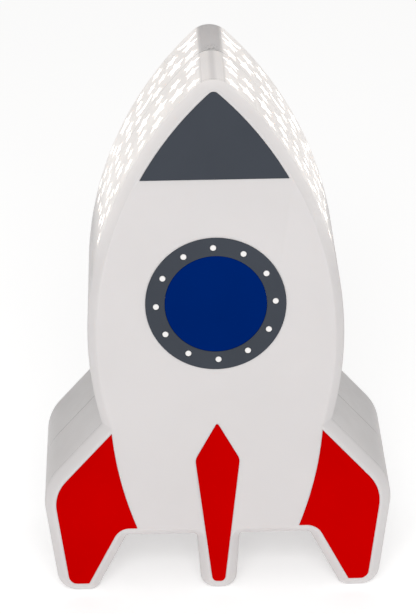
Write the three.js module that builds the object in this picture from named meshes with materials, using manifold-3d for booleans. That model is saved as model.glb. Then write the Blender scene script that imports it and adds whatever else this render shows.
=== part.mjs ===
// Rocket-shaped battery night light: two hollow moulded shells joined by screws, with star and
// moon cut-outs in the nose walls, coloured inlay panels on the face, and a lamp module, slide
// switch and battery bay inside.
// Millimetres, +Z up. The face looks along -Y. Origin: bottom centre of the whole light.
import * as THREE from 'three';
import { mergeVertices } from 'three/addons/utils/BufferGeometryUtils.js';
import Module from 'manifold-3d';

const wasm = await Module();
wasm.setup();

// ---------- driving dimensions ----------

const FACE_Y = -49;              // front face
const BACK_Y = 49;               // rear face
const BEVEL_DEPTH = 5.2;         // bevel measured along Y
const BEVEL_WIDTH = 4.45;        // bevel measured in the plane of the face
const SEAM_Y = 2.0;              // joint plane between the two shells
const WALL = 2.2;
const LIP = 1.1;                 // thickness of the locating lip
const BEVEL_BULGE = { width: 0.46, depth: 0.42 };   // middle of the bevel, as shares of its size
const BEVEL_WALL = 0.9;          // extra inset of the hollow behind the bevel
const GAP = 0.3;                 // clearance between touching pieces
const EDGE_GAP = 0.2;            // clearance round an inlay

const RING_Z = 154;              // porthole centre, and the datum of the outline
const OGIVE = { x: -113, z: RING_Z - 18, radius: 175.3 };   // circle of the right-hand nose flank
const TIP_RADIUS = 12;
const INLAY_INSET = 5.7;         // inlay edges, measured in from the outline

// Corners of the right half of the outline below the nose, from shoulder to centre leg.
// A negative radius rounds an inside corner.
const LOWER_CORNERS = [
  { x: 56.2, z: 89.8, radius: 0 },
  { x: 86.8, z: 56.4, radius: 25 },
  { x: 78.9, z: 0, radius: 10 },
  { x: 61.0, z: 0, radius: 6 },
  { x: 45.4, z: 29.7, radius: -2.75 },
  { x: 10.6, z: 29.7, radius: -2 },
  { x: 8.5, z: 0, radius: 7.5 },
];

const RECESS = 1.5;              // depth of the seats that hold the inlays
const INLAY_PROUD = 0.3;         // inlays stand this far out of the face
const NOSE_PANEL_Z = RING_Z + 63.6;
const NOSE_PANEL_TIP_RADIUS = 3;
const FIN_PANEL_EDGE = { x: -136.4, z: RING_Z - 51.5, radius: 188.7 };  // its inner, curved edge
const SPEAR_CORNERS = [
  { x: 0, z: RING_Z - 62.5, radius: 0 },
  { x: 10.9, z: RING_Z - 82.1, radius: 6.5 },
  { x: 3.0, z: RING_Z - 148.4, radius: 2.6 },
];
const RING_RADIUS = 34;
const WINDOW_RADIUS = 24.6;
const RIVET_CIRCLE = 28.9;
const RIVET_COUNT = 12;
const RIVET_RADIUS = 1.5;
const RIVET_TURN = 2;            // degrees, the ring of rivets is set slightly round

// Cut-outs. along runs down the nose wall from the point where its slope is 45 degrees; back runs
// rearwards from the front edge of the wall. Stars are [along, back, size, turn], moons are
// [along, back, radius, turn]. turn is in degrees, from straight down the wall towards the rear.
const STAR_SIZES = { xl: 7.2, l: 6.4, m: 5.5, s: 4.6, xs: 3.7, xxs: 3.1 };
const STAR_WAIST = 0.47;         // inner radius over outer radius
const FRONT_STARS = [
  [-2, 6.6, 's', 175], [-1.8, 25, 's', 173], [-1.8, 37, 'm', 165],
  [8.4, 15.4, 'l', 166], [9.9, 32, 's', 270],
  [24.4, 7.6, 'm', 270], [21.7, 23.4, 'l', 171], [21.8, 37, 'xs', 270],
  [37.3, 7.4, 'xs', 190], [37, 20, 's', 270], [35.6, 34, 'l', 168],
  [50, 9.8, 's', 270], [48, 22, 'xxs', 180], [50, 34.6, 'xs', 200],
  [62.8, 9.8, 'xs', 180], [59.2, 24.4, 's', 175], [61.4, 37.8, 'xs', 190],
  [74, 7, 'xs', 180], [68.7, 17.5, 'xxs', 270], [76.2, 24.4, 'xxs', 180], [73, 34.6, 's', 260],
  [89.5, 8.6, 'xs', 180], [83.2, 16.6, 's', 200], [87.4, 28.5, 'xs', 270], [86.6, 40, 'xxs', 180],
];
const REAR_STARS = [
  [-1.7, 52.4, 's', 180], [-1.4, 68, 'm', 160], [9, 56.6, 'l', 161], [11.4, 72, 's', 270],
  [23.6, 51.6, 's', 270], [18.8, 63.6, 'xs', 180], [27.6, 68.6, 'xs', 160], [22.6, 79.4, 's', 270],
  [39.8, 50.4, 'xxs', 190], [38.8, 70, 'xs', 270], [37.7, 80.4, 'xs', 175],
  [49.5, 51, 'xs', 180], [48.6, 61.6, 's', 190], [52.4, 77, 'xl', 167],
  [62.5, 50.4, 'xxs', 180], [60.6, 60, 's', 175], [65.7, 71, 'xs', 270],
  [73.5, 50.5, 'xs', 190], [71, 60.4, 'xxs', 180], [82, 59.4, 's', 270], [79, 73.6, 'xs', 170],
  [88.6, 50.6, 'xxs', 180], [69, 81.6, 'xxs', 180], [90.4, 67.6, 'xs', 180],
  [87.4, 80.4, 'xs', 270],
];
const MOONS = [[0.4, 81.2, 6.2, 6], [34.2, 62.0, 6.8, 10]];
const MOON_BITE = 1.2;           // radius of the circle that hollows a moon, over its own radius
const MOON_THICKNESS = 0.5;      // widest part of a moon over its radius

const POST = { radius: 3.8, bore: 1.25 };            // screw posts of the shells
const SHELL_SCREW = { head: 2.6, shank: 0.95, length: 14 };
const SCREW_POSTS = [
  { name: 'nose', x: 0, z: 243 },
  { name: 'left', x: -52, z: 126 },
  { name: 'right', x: 52, z: 126 },
  { name: 'left_foot', x: -68, z: 20 },
  { name: 'right_foot', x: 68, z: 20 },
  { name: 'centre_leg', x: 0, z: 20 },
];
const POST_HEAD_Y = 14;          // the screw heads seat at this depth inside the rear posts
const POST_FLOOR = 3;            // material between a screw head and the front post

const CELL = { radius: 7.1, length: 49, nub_radius: 2.7, nub: 1.5 };   // AA cell
const CELL_PITCH = 15.6;
const CELL_COUNT = 3;
const SPRING_ROOM = 5.2;         // length that a compressed contact spring takes
const BAY = { x: 24.6, low: 50, high: 111.6, deep: 18.2 };   // half width, ends and depth
const BAY_WALL = 1.8;
const DOOR = { x: 29, low: 42, high: 116, thick: 2.4 };
const DOOR_FRAME = { width: 2.5, thick: 2 };         // border moulded behind the door
const DOOR_TAB = { x: 14, width: 7, reach: 3.2, thick: 1.4 };
const TAB_SLOT = { side: 0.6, deep: 5, down: 4.7 };  // room for the tabs as the door tilts
const DOOR_SCREW = { z: 46.6, head: 2.6, shank: 1.2, reach: 8 };

const SWITCH = { z: 134, half_x: 10, half_z: 4.2, deep: 2.6 };       // finger recess in the back
const SWITCH_BODY = { half_x: 7, half_z: 3.3, front: 9.4, back: 4.4 };   // y is below the back face
const SWITCH_BLOCK = { side: 4.5, half_z: 6, deep: 9 };   // solid material round the switch
const SWITCH_ROOM = 0.4;         // play of the switch in its bed
const SWITCH_CUT = 10;           // depth that the bed and the slot reach below the back face
const KNOB = { half_z: 1.5, front: 6.8, back: 0.4 };    // front and back are below the back face
const KNOB_WELL = { half_x: 4.8, half_z: 2.1, front: 7.4 };            // room for it in the body
const KNOB_SLOT = 2;             // half the height of the slot in the shell
const KNOB_TRAVEL = 4;
const SLOT_END = 4.2;            // half the length that the knob slides in
const BOARD = { y: 22, thick: 1.6, half_x: 27, low: 160, high: 192 };
const WIRE = { radius: 0.7, lift: 1.5 };             // lift is above the floor of the bay
const WIRE_HOLE = { half: 1.6, top_x: 20.4, low_x: -17, high_z: 3.5 };
const BOARD_POST = { x: 22, z: BOARD.low + 5, radius: 3.2, bore: 1.1 };
const LAMP = { z: 176, radius: 17, wall: 1.5 };

// ---------- solids ----------

function solidOf(geometry) {
  const bare = geometry.clone();
  bare.deleteAttribute('normal');
  bare.deleteAttribute('uv');
  const merged = mergeVertices(bare, 1e-4);
  return new wasm.Manifold(new wasm.Mesh({
    numProp: 3,
    vertProperties: new Float32Array(merged.attributes.position.array),
    triVerts: new Uint32Array(merged.index.array),
  }));
}

function geometryOf(solid) {
  const mesh = solid.getMesh();
  const geometry = new THREE.BufferGeometry();
  geometry.setAttribute('position', new THREE.BufferAttribute(mesh.vertProperties, 3));
  geometry.setIndex(new THREE.BufferAttribute(mesh.triVerts, 1));
  return geometry;
}

const add = (...solids) => solids.reduce((sum, solid) => sum.add(solid));
const cut = (solid, ...tools) => tools.reduce((rest, tool) => rest.subtract(tool), solid);

// Closed form through sections of equal point count, each {points: [[x, z], ...], y}, front first.
// The points run clockwise as seen from the front, so the faces point outwards.
function loft(sections) {
  const count = sections[0].points.length;
  const position = sections.flatMap(({ points, y }) => points.flatMap(([x, z]) => [x, y, z]));
  const index = [];
  for (let s = 0; s + 1 < sections.length; s++) {
    for (let i = 0; i < count; i++) {
      const a = s * count + i;
      const b = s * count + (i + 1) % count;
      index.push(a, b, a + count, b, b + count, a + count);
    }
  }
  const cap = (points, start, facesFront) => {
    const flat = points.map(([x, z]) => new THREE.Vector2(x, z));
    for (const [a, b, c] of THREE.ShapeUtils.triangulateShape(flat, [])) {
      const counterclockwise = THREE.ShapeUtils.area([flat[a], flat[b], flat[c]]) > 0;
      if (counterclockwise === facesFront) index.push(start + a, start + b, start + c);
      else index.push(start + a, start + c, start + b);
    }
  };
  cap(sections[0].points, 0, true);
  cap(sections.at(-1).points, (sections.length - 1) * count, false);
  const geometry = new THREE.BufferGeometry();
  geometry.setAttribute('position', new THREE.Float32BufferAttribute(position, 3));
  geometry.setIndex(index);
  return solidOf(geometry);
}

// The same outline from front y to back y.
const slab = (points, front, back) => loft([{ points, y: front }, { points, y: back }]);

function block(x0, x1, y0, y1, z0, z1) {
  const box = new THREE.BoxGeometry(x1 - x0, y1 - y0, z1 - z0);
  return solidOf(box.translate((x0 + x1) / 2, (y0 + y1) / 2, (z0 + z1) / 2));
}

// Cylinder along Y between two depths.
function rod(x, z, radius, front, back, sides = 14) {
  const cylinder = new THREE.CylinderGeometry(radius, radius, back - front, sides);
  return solidOf(cylinder.translate(x, (front + back) / 2, z));
}

// Solid of revolution about Z from [radius, z] points that start and end on the axis.
function turned(profile, sides = 24) {
  return new THREE.LatheGeometry(profile.map(([r, z]) => new THREE.Vector2(r, z)), sides)
    .rotateX(Math.PI / 2);
}

// ---------- outlines ----------

const degrees = THREE.MathUtils.degToRad;
const mirrored = half => [...half, ...half.filter(([x]) => x > 1e-6).reverse().map(([x, z]) => [-x, z])];

function arc(centre, radius, from, to, steps) {
  return Array.from({ length: steps + 1 }, (_, i) => {
    const angle = from + (to - from) * i / steps;
    return [centre.x + radius * Math.cos(angle), centre.z + radius * Math.sin(angle)];
  });
}

// Moves every side of a corner list inwards (clockwise list) by a distance.
function movedIn(corners, distance) {
  const shifted = corners.map((corner, i) => {
    const next = corners[(i + 1) % corners.length];
    const length = Math.hypot(next.x - corner.x, next.z - corner.z);
    const dx = (next.x - corner.x) / length;
    const dz = (next.z - corner.z) / length;
    return { x: corner.x + dz * distance, z: corner.z - dx * distance, dx, dz };
  });
  return corners.map((corner, i) => {
    const before = shifted[(i + corners.length - 1) % corners.length];
    const after = shifted[i];
    const turn = before.dx * after.dz - before.dz * after.dx;
    const t = ((after.x - before.x) * after.dz - (after.z - before.z) * after.dx) / turn;
    return {
      x: before.x + before.dx * t,
      z: before.z + before.dz * t,
      radius: corner.radius === 0 ? 0 : corner.radius - distance,
    };
  });
}

// Points of one rounded corner between its two neighbours.
function roundedCorner(before, corner, after, steps) {
  const radius = Math.abs(corner.radius);
  if (radius < 0.05) return [[corner.x, corner.z]];
  const inX = corner.x - before.x, inZ = corner.z - before.z;
  const outX = after.x - corner.x, outZ = after.z - corner.z;
  const inAngle = Math.atan2(inZ, inX);
  let turn = Math.atan2(outZ, outX) - inAngle;
  if (turn > Math.PI) turn -= 2 * Math.PI;
  if (turn < -Math.PI) turn += 2 * Math.PI;
  const side = Math.sign(turn);
  const tangent = radius * Math.tan(Math.abs(turn) / 2);
  const startX = corner.x - Math.cos(inAngle) * tangent;
  const startZ = corner.z - Math.sin(inAngle) * tangent;
  const centre = {
    x: startX - side * radius * Math.sin(inAngle),
    z: startZ + side * radius * Math.cos(inAngle),
  };
  const first = inAngle - side * Math.PI / 2;
  return arc(centre, radius, first, first + turn, steps);
}

// Rounded right half of a symmetric corner list, tip or top centre first.
function roundedHalf(corners, steps = 4) {
  const last = corners.at(-1);
  return corners.flatMap((corner, i) => {
    const before = corners[i - 1] ?? { x: -corners[1].x, z: corners[1].z };
    const after = corners[i + 1] ?? { x: -last.x, z: last.z };
    return i === 0 ? [[corner.x, corner.z]] : roundedCorner(before, corner, after, steps);
  });
}

// Nose flank moved in by a distance: tip rounding, then the flank down to a given angle.
function flank(inset, tipRadius, endAngle, steps = 18) {
  const radius = OGIVE.radius - inset;
  const rise = Math.sqrt((radius - tipRadius) ** 2 - OGIVE.x ** 2);
  const meet = Math.atan2(rise, -OGIVE.x);
  return [
    ...arc({ x: 0, z: OGIVE.z + rise }, tipRadius, Math.PI / 2, meet, 4).slice(0, -1),
    ...arc(OGIVE, radius, meet, endAngle, steps),
  ];
}

// Whole outline moved in by a distance.
function outline(inset = 0) {
  const left = LOWER_CORNERS.map(corner => ({ ...corner, x: -corner.x })).reverse();
  const corners = movedIn([...LOWER_CORNERS, ...left], inset).slice(0, LOWER_CORNERS.length);
  // The flank ends where it meets the moved top line of the fin.
  const [joint, shoulder] = corners;
  const length = Math.hypot(joint.x - shoulder.x, joint.z - shoulder.z);
  const ux = (joint.x - shoulder.x) / length;
  const uz = (joint.z - shoulder.z) / length;
  const px = shoulder.x - OGIVE.x;
  const pz = shoulder.z - OGIVE.z;
  const along = px * ux + pz * uz;
  const reach = (OGIVE.radius - inset) ** 2 - (px * px + pz * pz) + along ** 2;
  const t = -along - Math.sqrt(reach);
  const end = Math.atan2(pz + uz * t, px + ux * t);
  const tipRadius = Math.max(TIP_RADIUS - 1.5 * inset, 1.5);
  const nose = flank(inset, tipRadius, end);
  const [endX, endZ] = nose.at(-1);
  const lower = roundedHalf([{ x: endX, z: endZ }, ...corners.slice(1)]);
  return mirrored([...nose, ...lower.slice(1)]);
}

function star(radius) {
  const shape = new THREE.Shape();
  for (let i = 0; i < 10; i++) {
    const reach = i % 2 ? radius * STAR_WAIST : radius;
    const angle = i * Math.PI / 5;
    shape[i ? 'lineTo' : 'moveTo'](reach * Math.cos(angle), reach * Math.sin(angle));
  }
  return shape;
}

// Crescent round the origin with its horns towards +Y.
function moon(radius) {
  const bite = radius * MOON_BITE;
  const biteY = radius * (MOON_THICKNESS - 1) + bite;
  const hornY = (radius ** 2 - bite ** 2 + biteY ** 2) / (2 * biteY);
  const hornX = Math.sqrt(radius ** 2 - hornY ** 2);
  const outer = Math.atan2(hornY, hornX);
  const inner = Math.atan2(hornY - biteY, hornX);
  const shape = new THREE.Shape();
  shape.absarc(0, 0, radius, outer, Math.PI - outer, true);
  shape.absarc(0, biteY, bite, Math.PI - inner, inner, false);
  return shape;
}

// Cutter through the nose wall on one side (+1 right, -1 left). Its local X runs down the wall,
// its local Y to the rear.
function wallCutter(shape, side, along, back, turn) {
  const angle = Math.PI / 4 - along / OGIVE.radius;
  const down = new THREE.Vector3(side * Math.sin(angle), 0, -Math.cos(angle));
  const rear = new THREE.Vector3(0, 1, 0);
  const out = down.clone().cross(rear);
  const depth = 4 * WALL;
  const cutter = new THREE.ExtrudeGeometry(shape, { depth, bevelEnabled: false, curveSegments: 6 });
  cutter.translate(0, 0, -depth / 2);
  cutter.rotateZ(degrees(turn));
  const place = new THREE.Matrix4().makeBasis(down, rear, out);
  place.setPosition(
    side * (OGIVE.x + OGIVE.radius * Math.cos(angle)),
    FACE_Y + BEVEL_DEPTH + back,
    OGIVE.z + OGIVE.radius * Math.sin(angle),
  );
  return solidOf(cutter.applyMatrix4(place));
}

function wallCutters(stars, moons) {
  return [-1, 1].flatMap(side => [
    ...stars.map(([along, back, size, turn]) =>
      wallCutter(star(STAR_SIZES[size]), side, along, back, turn)),
    ...moons.map(([along, back, radius, turn]) =>
      wallCutter(moon(radius), side, along, back, turn)),
  ]);
}

// ---------- pieces ----------

const PAINT = {
  white: { color: 0xe9e6e3, roughness: 0.45 },
  slate: { color: 0x464c54, roughness: 0.5 },
  navy: { color: 0x001e69, roughness: 0.5 },
  red: { color: 0xc40a08, roughness: 0.4 },
  steel: { color: 0xb9bcc0, roughness: 0.35, metalness: 1 },
  board: { color: 0xe6e9e4, roughness: 0.5 },
  lens: { color: 0xfff6df, roughness: 0.3, emissive: 0xfff0cc },
  black: { color: 0x1b1c1e, roughness: 0.5 },
  cell: { color: 0x2d6b46, roughness: 0.4 },
  wire_red: { color: 0xb01712, roughness: 0.5 },
};

const rocket = new THREE.Group();

function piece(name, shape, paint) {
  const geometry = shape.isBufferGeometry ? shape : geometryOf(shape);
  const mesh = new THREE.Mesh(geometry, new THREE.MeshStandardMaterial(PAINT[paint]));
  mesh.name = name;
  rocket.add(mesh);
  return mesh;
}

// Inlay outlines; grow is the clearance that a seat has round its inlay.
function nosePanel(grow) {
  const inset = INLAY_INSET - grow;
  const low = NOSE_PANEL_Z - grow;
  const end = Math.asin((low - OGIVE.z) / (OGIVE.radius - inset));
  return mirrored(flank(inset, NOSE_PANEL_TIP_RADIUS + grow, end, 12));
}
const spear = grow => mirrored(roundedHalf(movedIn(
  [...SPEAR_CORNERS, ...SPEAR_CORNERS.slice(1).reverse().map(c => ({ ...c, x: -c.x }))],
  -grow).slice(0, SPEAR_CORNERS.length)));

function finPanel(side, grow, front, back) {
  const edge = { x: side * FIN_PANEL_EDGE.x, z: FIN_PANEL_EDGE.z };
  const radius = FIN_PANEL_EDGE.radius - grow;
  const body = rod(edge.x, edge.z, radius, FACE_Y - 10, BACK_Y, 240);
  const half = block(Math.min(0, side * 100), Math.max(0, side * 100), FACE_Y - 10, BACK_Y, -5, 92);
  return slab(outline(INLAY_INSET - grow), front, back).intersect(half).subtract(body);
}

function inlays(grow, front, back) {
  return {
    nose_panel: slab(nosePanel(grow), front, back),
    fin_panel_left: finPanel(-1, grow, front, back),
    fin_panel_right: finPanel(1, grow, front, back),
    fin_panel_centre: slab(spear(grow), front, back),
  };
}

function frontShell() {
  const floor = FACE_Y + RECESS + WALL;          // inner side of the face
  let shell = loft([
    { points: outline(BEVEL_WIDTH), y: FACE_Y },
    { points: outline(BEVEL_WIDTH * BEVEL_BULGE.width), y: FACE_Y + BEVEL_DEPTH * BEVEL_BULGE.depth },
    { points: outline(), y: FACE_Y + BEVEL_DEPTH },
    { points: outline(), y: SEAM_Y - GAP / 2 },
  ]);
  const hollow = loft([
    { points: outline(BEVEL_WIDTH + BEVEL_WALL), y: floor },
    { points: outline(WALL), y: FACE_Y + BEVEL_DEPTH + WALL },
    { points: outline(WALL), y: SEAM_Y + 1 },
  ]);
  shell = shell.subtract(hollow);
  for (const { x, z } of SCREW_POSTS) {
    shell = shell.add(rod(x, z, POST.radius, floor - 0.5, POST_HEAD_Y - POST_FLOOR));
    shell = shell.subtract(rod(x, z, POST.bore, POST_HEAD_Y - SHELL_SCREW.length - 2, POST_HEAD_Y, 12));
  }
  const seats = Object.values(inlays(EDGE_GAP, FACE_Y - 1, FACE_Y + RECESS));
  const porthole = rod(0, RING_Z, RING_RADIUS + EDGE_GAP, FACE_Y - 1, FACE_Y + RECESS, 48);
  return cut(shell, ...seats, porthole, ...wallCutters(FRONT_STARS, []));
}

// The lip stands up round the rim of the rear shell and locates the front shell.
function lipAndHollow() {
  const inset = WALL + GAP;
  const low = SEAM_Y + 3;                        // below here the lip thins into the wall
  const lip = slab(outline(inset), SEAM_Y - 2.5, low + 3);
  const hollow = loft([
    { points: outline(inset + LIP), y: SEAM_Y - 3 },
    { points: outline(inset + LIP), y: low },
    { points: outline(WALL), y: low + inset + LIP - WALL },
    { points: outline(WALL), y: BACK_Y - BEVEL_DEPTH - WALL },
    { points: outline(BEVEL_WIDTH + BEVEL_WALL), y: BACK_Y - WALL },
  ]);
  return { lip, hollow };
}

// Material that the rear shell has inside it.
function rearRibs() {
  const inside = BACK_Y - WALL + 0.5;
  const doorFrame = block(-DOOR.x - DOOR_FRAME.width, DOOR.x + DOOR_FRAME.width,
    BACK_Y - DOOR.thick - DOOR_FRAME.thick, inside,
    DOOR.low - DOOR_FRAME.width, DOOR.high + DOOR_FRAME.width);
  const bay = block(-BAY.x - BAY_WALL, BAY.x + BAY_WALL, BACK_Y - BAY.deep - BAY_WALL, inside,
    BAY.low - BAY_WALL, BAY.high + BAY_WALL);
  const switchBlock = block(-SWITCH_BODY.half_x - SWITCH_BLOCK.side,
    SWITCH_BODY.half_x + SWITCH_BLOCK.side, BACK_Y - SWITCH_BLOCK.deep, inside,
    SWITCH.z - SWITCH_BLOCK.half_z, SWITCH.z + SWITCH_BLOCK.half_z);
  return [
    doorFrame, bay, switchBlock,
    rod(0, DOOR_SCREW.z, DOOR_SCREW.head + 1, BACK_Y - 14, inside),
    ...SCREW_POSTS.map(({ x, z }) =>
      rod(x, z, POST.radius, POST_HEAD_Y - POST_FLOOR + GAP, inside)),
    ...[-1, 1].map(side => rod(side * BOARD_POST.x, BOARD_POST.z, BOARD_POST.radius,
      BOARD.y + BOARD.thick / 2 + GAP, inside)),
  ];
}

function rearHoles() {
  const bayFront = BACK_Y - BAY.deep;
  const doorSeatY = BACK_Y - DOOR.thick;
  const screwHoles = SCREW_POSTS.flatMap(({ x, z }) => [
    rod(x, z, SHELL_SCREW.shank + 0.7, SEAM_Y - 10, BACK_Y, 12),
    rod(x, z, SHELL_SCREW.head + 0.4, POST_HEAD_Y, BACK_Y + 1),
  ]);
  const boardHoles = [-1, 1].map(side =>
    rod(side * BOARD_POST.x, BOARD_POST.z, BOARD_POST.bore, 0, BOARD.y + 14, 12));
  const doorSeat = block(-DOOR.x - GAP, DOOR.x + GAP, doorSeatY, BACK_Y + 1,
    DOOR.low - GAP, DOOR.high + GAP);
  const tabHalf = DOOR_TAB.width / 2 + TAB_SLOT.side;
  const tabSlots = [-1, 1].map(side => block(side * DOOR_TAB.x - tabHalf, side * DOOR_TAB.x + tabHalf,
    doorSeatY - TAB_SLOT.deep, doorSeatY + 0.01, DOOR.high - TAB_SLOT.down, DOOR.high + GAP));
  const bay = block(-BAY.x, BAY.x, bayFront, BACK_Y, BAY.low, BAY.high);
  const doorScrewHole = rod(0, DOOR_SCREW.z, 2.1, BACK_Y - 11, BACK_Y, 12);
  const fingerRecess = block(-SWITCH.half_x, SWITCH.half_x, BACK_Y - SWITCH.deep, BACK_Y + 1,
    SWITCH.z - SWITCH.half_z, SWITCH.z + SWITCH.half_z);
  const slotHalf = SLOT_END + SWITCH_ROOM;
  const bedHalf = SWITCH_BODY.half_x + SWITCH_ROOM;
  const switchSlot = block(-slotHalf, slotHalf, BACK_Y - SWITCH_CUT, BACK_Y,
    SWITCH.z - KNOB_SLOT, SWITCH.z + KNOB_SLOT);
  const switchBed = block(-bedHalf, bedHalf, BACK_Y - SWITCH_CUT, BACK_Y - SWITCH_BODY.back,
    SWITCH.z - SWITCH_BODY.half_z - GAP, SWITCH.z + SWITCH_BODY.half_z + GAP);
  const wireHoles = [
    block(WIRE_HOLE.top_x - WIRE_HOLE.half, WIRE_HOLE.top_x + WIRE_HOLE.half, bayFront + 0.1,
      bayFront + 3.1, BAY.high - 1, BAY.high + BAY_WALL + 1),
    block(WIRE_HOLE.low_x - WIRE_HOLE.half, WIRE_HOLE.low_x + WIRE_HOLE.half,
      bayFront - BAY_WALL - 1, bayFront + 1, BAY.low + 1, BAY.low + 1 + WIRE_HOLE.high_z),
  ];
  return [...screwHoles, ...boardHoles, doorSeat, ...tabSlots, bay, doorScrewHole, fingerRecess,
    switchSlot, switchBed, ...wireHoles];
}

function rearShell() {
  const walls = loft([
    { points: outline(), y: SEAM_Y + GAP / 2 },
    { points: outline(), y: BACK_Y - BEVEL_DEPTH },
    { points: outline(BEVEL_WIDTH * BEVEL_BULGE.width), y: BACK_Y - BEVEL_DEPTH * BEVEL_BULGE.depth },
    { points: outline(BEVEL_WIDTH), y: BACK_Y },
  ]);
  const { lip, hollow } = lipAndHollow();
  const shell = add(walls.add(lip).subtract(hollow), ...rearRibs());
  return cut(shell, ...rearHoles(), ...wallCutters(REAR_STARS, MOONS));
}

piece('front_shell', frontShell(), 'white');
piece('rear_shell', rearShell(), 'white');

// Coloured inlays on the face.
const INLAY_FRONT = FACE_Y - INLAY_PROUD;
const INLAY_BACK = FACE_Y + RECESS - GAP;
for (const [name, solid] of Object.entries(inlays(0, INLAY_FRONT, INLAY_BACK))) {
  piece(name, solid, name === 'nose_panel' ? 'slate' : 'red');
}
const rivetSpots = Array.from({ length: RIVET_COUNT }, (_, i) => {
  const angle = degrees(90 + RIVET_TURN - i * 360 / RIVET_COUNT);
  return [RIVET_CIRCLE * Math.cos(angle), RING_Z + RIVET_CIRCLE * Math.sin(angle)];
});
piece('porthole_ring', cut(
  rod(0, RING_Z, RING_RADIUS, INLAY_FRONT, INLAY_BACK, 48),
  rod(0, RING_Z, WINDOW_RADIUS + EDGE_GAP, FACE_Y - 2, FACE_Y + 3, 48),
  ...rivetSpots.map(([x, z]) => rod(x, z, RIVET_RADIUS + 0.1, FACE_Y - 2, FACE_Y + 3, 10)),
), 'slate');
piece('porthole_window', rod(0, RING_Z, WINDOW_RADIUS, INLAY_FRONT, INLAY_BACK, 48), 'navy');
rivetSpots.forEach(([x, z], i) => {
  piece(`ring_rivet_${i + 1}`, rod(x, z, RIVET_RADIUS, INLAY_FRONT, INLAY_BACK, 10), 'white');
});

// ---------- fasteners ----------

// Pan-head screw along Y, its cross-slotted head at the rear.
function shellScrew(x, z) {
  const head = rod(x, z, SHELL_SCREW.head, POST_HEAD_Y + GAP, POST_HEAD_Y + 2, 16);
  const shank = rod(x, z, SHELL_SCREW.shank, POST_HEAD_Y - SHELL_SCREW.length, POST_HEAD_Y + 0.5, 10);
  const [wide, narrow] = [1.6, 0.35];            // half sizes of the cross slot
  const slot = (halfX, halfZ) =>
    block(x - halfX, x + halfX, POST_HEAD_Y + 1, POST_HEAD_Y + 3, z - halfZ, z + halfZ);
  return cut(add(head, shank), slot(wide, narrow), slot(narrow, wide));
}

for (const { name, x, z } of SCREW_POSTS) {
  piece(`shell_screw_${name}`, shellScrew(x, z), 'steel');
}

// ---------- battery bay ----------

const PLATE = { thick: 0.6, half: 5.5 };
const CELL_Y = BACK_Y - DOOR.thick - GAP - CELL.radius - 0.3;
const NUB_END = PLATE.thick + 3 * GAP + 0.1;     // from the end of the bay to a cell's nub
const UP_LOW = BAY.low + PLATE.thick + GAP + SPRING_ROOM + GAP;   // flat end of a cell, nub up
const DOWN_HIGH = BAY.low + NUB_END + CELL.nub + CELL.length;     // flat end of a cell, nub down
const cellX = i => (i - 1) * CELL_PITCH;
const cellUp = i => i % 2 === 0;       // the cells stand alternately nub up and nub down

function cell() {
  const { radius, length, nub, nub_radius: nubRadius } = CELL;
  const edge = 0.6;
  return turned([[0, 0], [radius - edge, 0], [radius, edge], [radius, length - edge],
    [radius - edge, length], [nubRadius, length], [nubRadius, length + nub], [0, length + nub]], 20);
}

for (let i = 0; i < CELL_COUNT; i++) {
  const mesh = piece(`battery_${i + 1}`, cell(), 'cell');
  mesh.rotation.x = cellUp(i) ? 0 : Math.PI;
  mesh.position.set(cellX(i), CELL_Y, cellUp(i) ? UP_LOW : DOWN_HIGH);
}

// Contact plates: [name, first cell, last cell, lower or upper end].
const PLATES = [
  ['contact_plate_negative', 0, 0, 'low'],
  ['contact_plate_link_upper', 0, 1, 'high'],
  ['contact_plate_link_lower', 1, 2, 'low'],
  ['contact_plate_positive', 2, 2, 'high'],
];
for (const [name, first, last, end] of PLATES) {
  const z0 = end === 'low' ? BAY.low + GAP : BAY.high - GAP - PLATE.thick;
  piece(name, block(cellX(first) - PLATE.half, cellX(last) + PLATE.half,
    CELL_Y - PLATE.half, CELL_Y + PLATE.half, z0, z0 + PLATE.thick), 'steel');
}

// One conical coil spring at each cell's flat end, its wide end on the contact plate.
function spring(bottom, top, wideBelow) {
  const turns = 2.6;
  const wire = 0.45;
  const [narrow, wide] = [3, 4.2];
  const points = Array.from({ length: 32 }, (_, i) => {
    const t = i / 31;
    const radius = wide + (narrow - wide) * (wideBelow ? t : 1 - t);
    const angle = t * turns * 2 * Math.PI;
    const z = bottom + wire + (top - bottom - 2 * wire) * t;
    return new THREE.Vector3(radius * Math.cos(angle), radius * Math.sin(angle), z);
  });
  const extrudePath = new THREE.CatmullRomCurve3(points);
  const section = new THREE.Shape().absarc(0, 0, wire, 0, 2 * Math.PI);
  return new THREE.ExtrudeGeometry(section, { steps: 28, curveSegments: 3, extrudePath });
}
for (let i = 0; i < CELL_COUNT; i++) {
  const plateTop = BAY.low + PLATE.thick + 2 * GAP;
  const plateBottom = BAY.high - PLATE.thick - 2 * GAP;
  const coil = cellUp(i) ? spring(plateTop, UP_LOW - GAP, true)
    : spring(DOWN_HIGH + GAP, plateBottom, false);
  piece(`contact_spring_${i + 1}`, coil, 'steel').position.set(cellX(i), CELL_Y, 0);
}

// Door with two tabs behind the upper edge, and its captive screw.
const DOOR_FRONT = BACK_Y - DOOR.thick + GAP;
const DOOR_BACK = BACK_Y + INLAY_PROUD;

function batteryDoor() {
  const plate = block(-DOOR.x, DOOR.x, DOOR_FRONT, DOOR_BACK, DOOR.low, DOOR.high);
  const tabs = [-1, 1].map(side => block(
    side * DOOR_TAB.x - DOOR_TAB.width / 2, side * DOOR_TAB.x + DOOR_TAB.width / 2,
    DOOR_FRONT - DOOR_TAB.thick, DOOR_FRONT + 0.1, DOOR.high - DOOR_TAB.reach, DOOR.high - 0.6));
  return cut(add(plate, ...tabs),
    rod(0, DOOR_SCREW.z, DOOR_SCREW.shank + 0.4, DOOR_FRONT - 1, DOOR_BACK + 1, 16),
    rod(0, DOOR_SCREW.z, DOOR_SCREW.head + GAP, BACK_Y - 1, DOOR_BACK + 1, 20));
}

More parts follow.
